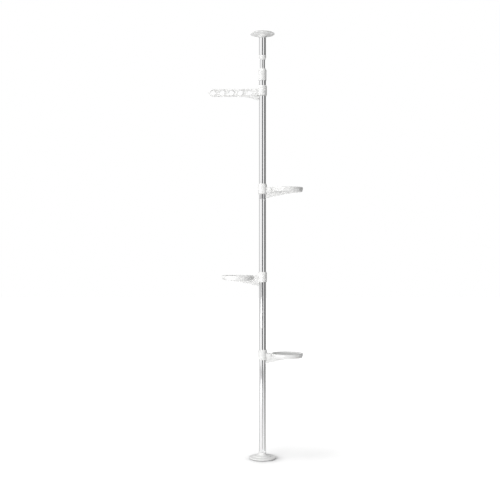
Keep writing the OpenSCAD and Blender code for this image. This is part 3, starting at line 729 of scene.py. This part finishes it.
build_spring_tree()
spring_low, spring_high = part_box("tension_spring")
wire_r = 1.3 * MM
spring = new_piece("spring_wire", bpy.data.meshes.new("spring_wire"), "spring_steel")
winding = spring.modifiers.new("wind", "NODES")
winding.node_group = spring_tree
settings = {"turns": 9.0, "radius": spring_high.x - wire_r, "wire": wire_r, "low": spring_low.z,
            "high": spring_high.z, "material": finishes["spring_steel"]}
for key, value in settings.items():
    winding[spring_inputs[key]] = value
take_result(spring, corner=60)
dress(spring, "tension_spring")
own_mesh(spring)
spring_length = round((spring_high.z - spring_low.z) / MM, 1)
print("spring:", len(spring.data.vertices), "vertices,", spring_length, "mm long")

# %% [markdown]
# A tray is a shallow dish of nearly one wall thickness: a recessed floor with three ring grooves, so that
# nothing wet sticks to it, a rounded rim, and a side wall that draws in below, so that the mould releases.
# Underneath, a ring and twelve spokes stiffen the floor. A slot in the near wall and the ring lets the arm
# pass, and four bosses take the screws of the arm's lugs. All is built round the tray's own axis, then put
# in place, with that axis 135 mm from the pole's.

# %% Tray dishes
tray_r, tray_h, tray_draw = 85.5, 24.0, 5.0
tray_reach = 135 * MM
lug_x, lug_y = 35 * MM, 14 * MM
slot_end, slot_half, slot_low, slot_high = 76.3 * MM, 8.3 * MM, 30 * MM, 7.95 * MM


def dish_outline(top):
    """Outline of a tray whose rim is at top, in mm. Its side wall draws in ever more towards the foot."""
    surface, bed, under, foot_z = top - 5, top - 5.8, top - 8, top - tray_h
    side = []
    for k in range(9):
        depth = tray_h - 1.6 - k * 2.5
        side.append((tray_r - tray_draw * (depth / tray_h) ** 2.5, top - depth))
    grooves = []
    for r in (62, 42, 22):
        grooves += [(r, surface, 0.3), (r, bed, 0.5), (r - 2, bed, 0.5), (r - 2, surface, 0.3)]
    ring = [(55.2, under, 0.4), (55.4, top - 14, 0.3), (56.6, top - 14, 0.3), (56.8, under, 0.4)]
    return rounded(millimetres(
        (0, under), *ring, (78, under, 1.5), (78, foot_z, 0.7), (80.5, foot_z, 0.8), *side,
        (tray_r, top, 1.2), (82.5, top, 0.8), (82.5, surface, 1), *grooves, (0, surface)), steps=4)


def cut_out(piece, low, high):
    """Cuts a box out of a piece."""
    low, high = Vector(low), Vector(high)
    work = bmesh.new()
    bmesh.ops.create_cube(work, size=1)
    for vert in work.verts:
        vert.co = (high + low) / 2 + vert.co * (high - low)
    block_mesh = bpy.data.meshes.new("block")
    work.to_mesh(block_mesh)
    work.free()
    block = new_object("block", block_mesh)
    cutting = piece.modifiers.new("cut", "BOOLEAN")
    cutting.operation = "DIFFERENCE"
    cutting.object = block
    take_result(piece)
    bpy.data.objects.remove(block)


def tray_site(node):
    """The side a tray is on, 1 to the right and -1 to the left, then its middle and its rim's height."""
    low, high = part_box(node)
    side = 1 if low.x + high.x > 0 else -1
    return side, side * tray_reach, high.z


lug_spots = [(x * lug_x, y * lug_y) for x in (-1, 1) for y in (-1, 1)]
for n in (1, 2, 3):
    side, middle, rim = tray_site(f"tray_{n}_dish")
    top = rim / MM
    root = top - 7.5
    dish = turned(f"tray_{n}_dish_shell", dish_outline(top), "white_plastic", steps=160)
    spoke_side = rounded(millimetres((36, root), (78.6, root), (78.6, top - 17), (72, top - 14, 4),
                                     (40, top - 14, 3), (36, top - 11, 2)), steps=4)
    spoke = prism("spoke", spoke_side, thickness=1.6 * MM, finish="white_plastic")
    spokes = copies("spokes", spoke, around(12, math.radians(15)), "white_plastic")
    boss_side = rounded(millimetres(
        (1.55, root), (4.5, root), (4.5, top - 16, 0.4), (1.55, top - 16, 0.3)), steps=3)
    boss = turned("boss", boss_side, "white_plastic", steps=40)
    bosses = copies("bosses", boss, [(x, y, 0, 0) for x, y in lug_spots], "white_plastic")
    near, far = sorted((-middle, slot_end * side))
    cut_out(dish, (near, -slot_half, rim - slot_low), (far, slot_half, rim - slot_high))
    joined(dish, spokes, bosses)
    dish.data.transform(Matrix.Translation((middle, 0, 0)))
    dress(dish, f"tray_{n}_dish")
    print(dish.name, len(dish.data.polygons), "faces, rim at", round(rim, 3), "m")

# %% [markdown]
# The tray screws are pan heads with a cross recess. One screw is turned with its thread as fine ring
# grooves, two crossed boxes cut the recess, and the copying tree puts one in each of the four lugs.

# %% Tray screws
crest_r, core_r, screw_pitch = 1.5, 1.15, 1.15
recess_long, recess_short = 1.6 * MM, 0.3 * MM
for n in (1, 2, 3):
    middle = tray_site(f"tray_{n}_dish")[1]
    low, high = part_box(f"tray_{n}_screws")
    head, tip = low.z / MM, high.z / MM
    threads = []
    for k in range(6):
        z = head + 3.4 + screw_pitch * k
        threads += [(crest_r, z, 0), (crest_r, z + 0.2, 0), (core_r, z + 0.55, 0), (core_r, z + 0.75, 0)]
    screw_side = rounded(millimetres(
        (0, head), (2.6, head, 1.2), (3.2, head + 2.2, 0.4), (crest_r, head + 2.2, 0.1), *threads,
        (1.4, tip - 1.2, 0), (0.5, tip, 0.2), (0, tip)), steps=3)
    screw = turned("screw", screw_side, "screw_steel", steps=48)
    recess_end = (head + 1.3) * MM
    for x, y in ((recess_long, recess_short), (recess_short, recess_long)):
        cut_out(screw, (-x, -y, recess_end - 5 * MM), (x, y, recess_end))
    spots = [(middle + x, y, 0, 0) for x, y in lug_spots]
    dress(copies(f"tray_{n}_screw_set", screw, spots, "screw_steel"), f"tray_{n}_screws")
print("three sets of four screws")

# %% [markdown]
# Collars, wedges, pins and arms have shapes that no lathe makes, and the frame has them exact. Each is a
# copy of the frame's mesh: its loose triangles are welded, the flat ones dissolved into whole faces, and a
# bevel rounds the outward edges, as the mould does. Edges that catch a thin highlight are what makes a white
# moulding read as plastic. Where two edges meet at a narrow angle their roundings would fold over each
# other, so those keep a bevel weight of zero and stay crisp.

# %% Soft edges on the moulded parts
def narrowest(edge, corner):
    """The smallest angle between an edge and the other edges with a corner at its two ends."""
    angles = [math.pi]
    for vert in edge.verts:
        along = edge.other_vert(vert).co - vert.co
        for other in vert.link_edges:
            if other is not edge and abs(other.calc_face_angle_signed(0)) > corner:
                angles.append(along.angle(other.other_vert(vert).co - vert.co))
    return min(angles)


def softened(node, width, corner=math.radians(30), narrow=math.radians(60)):
    """A copy of a CAD node's mesh, welded and with its outward edges rounded."""
    work = bmesh.new()
    work.from_mesh(frame["nodes"][node].data)
    bmesh.ops.remove_doubles(work, verts=work.verts, dist=1e-6)
    bmesh.ops.dissolve_limit(work, angle_limit=0.005, verts=work.verts, edges=work.edges)
    weight = work.edges.layers.float.new("bevel_weight_edge")
    for edge in work.edges:
        edge[weight] = edge.calc_face_angle_signed(0) > corner and narrowest(edge, corner) > narrow
    mesh = bpy.data.meshes.new(node + "_moulding")
    work.to_mesh(mesh)
    work.free()
    piece = new_piece(mesh.name, mesh, slot_of_node[node])
    bevel = piece.modifiers.new("edges", "BEVEL")
    bevel.width = width
    bevel.segments = 3
    bevel.limit_method = "WEIGHT"
    bevel.use_clamp_overlap = False
    bevel.miter_outer = "MITER_ARC"
    take_result(piece, corner=40)
    return dress(piece, node)


edge_widths = {"hanging_arm": 0.55}
for n in (1, 2, 3):
    edge_widths[f"tray_{n}_arm"] = 0.4
for site in ("hang", "tray_1", "tray_2", "tray_3"):
    edge_widths.update({site + "_collar": 0.3, site + "_pin": 0.3})
    edge_widths.update({site + "_wedge_front": 0.2, site + "_wedge_back": 0.2})
for node, width in edge_widths.items():
    piece = softened(node, width * MM)
    print(node, len(piece.data.polygons), "faces")

# %% [markdown]
# What is left of the frame sits inside the tubes and the nut: plugs, their screws, guides and the lock body.
# Those stay as they are and only take the finish of their slot.

# %% Finish the hidden parts
stood_for = {node for piece in bpy.data.objects for node in piece.get("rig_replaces", [])}
for node, part in frame["nodes"].items():
    if node not in stood_for:
        part.data.materials.clear()
        part.data.materials.append(finishes[slot_of_node[node]])
        print(node, "keeps the frame's mesh")

# %% [markdown]
# The studio is all white, as in a catalogue. Only camera and mirror rays see the pure white: what lights the
# stand is a dimmer room and four soft lamps, a large one in front on the left, a small one for the foot, one
# behind and one above. The lamps are hidden from mirrors, where they would burn out.
# A polished tube on white would vanish, so dark screens stand round it and show only in mirrors. A narrow
# one at the camera draws the thin dark line down the middle of the tubes, a wide grey one from the right
# round to the back draws the broad band at their right edge, and a pale one at the left closes the left
# edge. They lean in to the foot, so that the bands run all the way down.
# The floor lies half a millimetre under the foot's pad, so that no two faces share a place.

# %% Light and floor
def picture_ray(graph):
    """1 for the rays of the picture and of its mirrors, 0 for the light that falls on things."""
    path = graph.node("ShaderNodeLightPath")
    seen = path.out("Is Camera Ray").math("MAXIMUM", path.out("Is Glossy Ray"))
    return seen.math("MAXIMUM", path.out("Is Transmission Ray"))


def white_light(graph, kind, strength):
    """A node that gives white light of a strength, an emission or a background."""
    return graph.node(kind, None, {"Color": (1, 1, 1, 1), "Strength": strength})


def light_the_room(strength):
    """A world that is white in the picture and of a given strength on things."""
    world = bpy.data.worlds.new("studio")
    bpy.context.scene.world = world
    world.use_nodes = True
    world.node_tree.nodes.clear()
    graph = Graph(world.node_tree)
    room = white_light(graph, "ShaderNodeBackground", strength)
    white = white_light(graph, "ShaderNodeBackground", 1.0)
    mixed = graph.node("ShaderNodeMixShader", None, {0: picture_ray(graph), 1: room, 2: white})
    graph.node("ShaderNodeOutputWorld", None, {"Surface": mixed})


def lamp(name, place, target, size, watts):
    """A square soft lamp that looks at a target."""
    light = bpy.data.lights.new(name, "AREA")
    light.shape = "SQUARE"
    light.size = size
    light.energy = watts
    holder = new_object(name, light)
    holder.visible_glossy = False
    holder.location = place
    holder.rotation_euler = (Vector(target) - Vector(place)).to_track_quat("-Z", "Y").to_euler()


def stage_material(name):
    """An empty material for the stage, and its graph."""
    material = bpy.data.materials.new(name)
    material.use_nodes = True
    material.node_tree.nodes.clear()
    return material, Graph(material.node_tree)


def floor_paint(mirrored, far):
    """Matt white paint that takes shadows. In the picture a glow lifts it to the backdrop's white. It is
    nothing at the foot's edge, a share of full strength 50 mm outside it, and grows to a strength of far
    from there on. Near the foot the stand's soft shadow shows, and the missing glow paints extra shade round
    the foot. Its middle lies 8 mm to the right of the pole, so that this painted shade reaches farther out
    on the foot's shaded side. In mirrors the glow is the same all over."""
    material, graph = stage_material("floor_paint")
    place = graph.node("ShaderNodeTexCoord").out("Object")
    axes = graph.node("ShaderNodeSeparateXYZ", None, {0: place})
    middle_x, foot_edge, near_width, far_width, share = 0.008, 0.0745, 0.05, 1.8, 0.38
    # Less glow near the foot is painted shade, shifted to the foot's shaded side, on top of the real shadow.
    distance = ((axes.out("X") - middle_x) ** 2 + axes.out("Y") ** 2) ** 0.5
    beyond = (distance - foot_edge).math("MAXIMUM", 0.0)
    near_glow = (beyond / near_width).math("MINIMUM", 1.0) ** 0.5
    far_glow = (beyond / far_width).math("MINIMUM", 1.0)
    spread = near_glow * (share + (1 - share) * far_glow)
    path = graph.node("ShaderNodeLightPath")
    paint = graph.node("ShaderNodeBsdfDiffuse", None, {"Color": (0.9, 0.9, 0.9, 1)})
    none, even, strong = [white_light(graph, "ShaderNodeEmission", level) for level in (0.0, mirrored, far)]
    seen = spread * path.out("Is Camera Ray")
    direct = graph.node("ShaderNodeMixShader", None, {0: seen, 1: none, 2: strong})
    glowing = graph.node("ShaderNodeMixShader", None, {0: path.out("Is Glossy Ray"), 1: direct, 2: even})
    both = graph.node("ShaderNodeAddShader", None, {0: paint, 1: glowing})
    graph.node("ShaderNodeOutputMaterial", None, {"Surface": both})
    return material


def screen(name, first, last, level, foot_level):
    """A curved screen round the stand, from azimuth first to last, where 0 is the camera's side and 90 the
    right. Mirrors show it at a level of grey, which turns to foot_level near the floor, where the screen
    leans in to the foot."""
    material, graph = stage_material(name)
    place = graph.node("ShaderNodeTexCoord").out("Object")
    height = graph.node("ShaderNodeSeparateXYZ", None, {0: place}).out("Z")
    blend_height = 0.55
    rise = (height / blend_height).math("MAXIMUM", 0.0).math("MINIMUM", 1.0)
    low = white_light(graph, "ShaderNodeEmission", foot_level)
    high = white_light(graph, "ShaderNodeEmission", level)
    grey = graph.node("ShaderNodeMixShader", None, {0: rise, 1: low, 2: high})
    graph.node("ShaderNodeOutputMaterial", None, {"Surface": grey})
    parts = 24
    rings = ((0.12, 0.0), (0.5, 0.45), (0.5, 3.2))
    angles = [math.radians(first + (last - first) * i / parts) for i in range(parts + 1)]
    points = [(radius * math.sin(a), -radius * math.cos(a), z) for a in angles for radius, z in rings]
    faces = []
    for i in range(parts):
        for start in (3 * i, 3 * i + 1):
            faces.append((start, start + 3, start + 4, start + 1))
    mesh = bpy.data.meshes.new(name)
    mesh.from_pydata(points, [], faces)
    mesh.materials.append(material)
    board = new_object(name, mesh)
    board.visible_camera = False
    board.visible_shadow = False
    board.visible_diffuse = False


light_the_room(strength=0.33)
lamp("key", (-2.0, -3.9, 1.3), target=(0, 0, 1.1), size=2.4, watts=72)
lamp("low", (-1.6, -2.6, 0.5), target=(0, 0, 0.1), size=1.0, watts=20)
lamp("back", (0.5, 4.4, 1.5), target=(0, 0, 1.1), size=2.4, watts=60)
lamp("top", (-1.4, -0.7, 4.7), target=(0, 0, 0.6), size=2.0, watts=68)
screen("line_screen", first=-15, last=14, level=0.03, foot_level=0.66)
screen("right_screen", first=51, last=180, level=0.2, foot_level=0.6)
screen("left_screen", first=-180, last=-95, level=0.65, foot_level=0.65)

half_width, front_y, back_y = 12, -9, 16
floor_corners = [(-half_width, front_y, 0), (half_width, front_y, 0),
                 (half_width, back_y, 0), (-half_width, back_y, 0)]
floor_mesh = bpy.data.meshes.new("floor")
floor_mesh.from_pydata(floor_corners, [], [(0, 1, 2, 3)])
floor_mesh.materials.append(floor_paint(mirrored=0.28, far=0.8))
floor = new_object("floor", floor_mesh)
floor.location.z = -0.5 * MM
print("studio ready")

# %% [markdown]
# The picture is taken level, from in front, with a long lens: both pads of the stand are seen almost edge on
# and the pole stays upright. The camera stands a little left of the pole, as the photograph's framing shows.

# %% The camera
camera_data = bpy.data.cameras.new("camera")
camera_data.lens = 63.33
camera_data.sensor_width = 36
camera = new_object("camera", camera_data)
camera.location = (-0.068, -4.8, 1.137)
camera.rotation_euler = (math.pi / 2, 0, 0)
scene = bpy.context.scene
scene.camera = camera
scene.view_settings.view_transform = "Standard"
scene.view_settings.look = "None"
print("camera at", tuple(round(x, 3) for x in camera.location))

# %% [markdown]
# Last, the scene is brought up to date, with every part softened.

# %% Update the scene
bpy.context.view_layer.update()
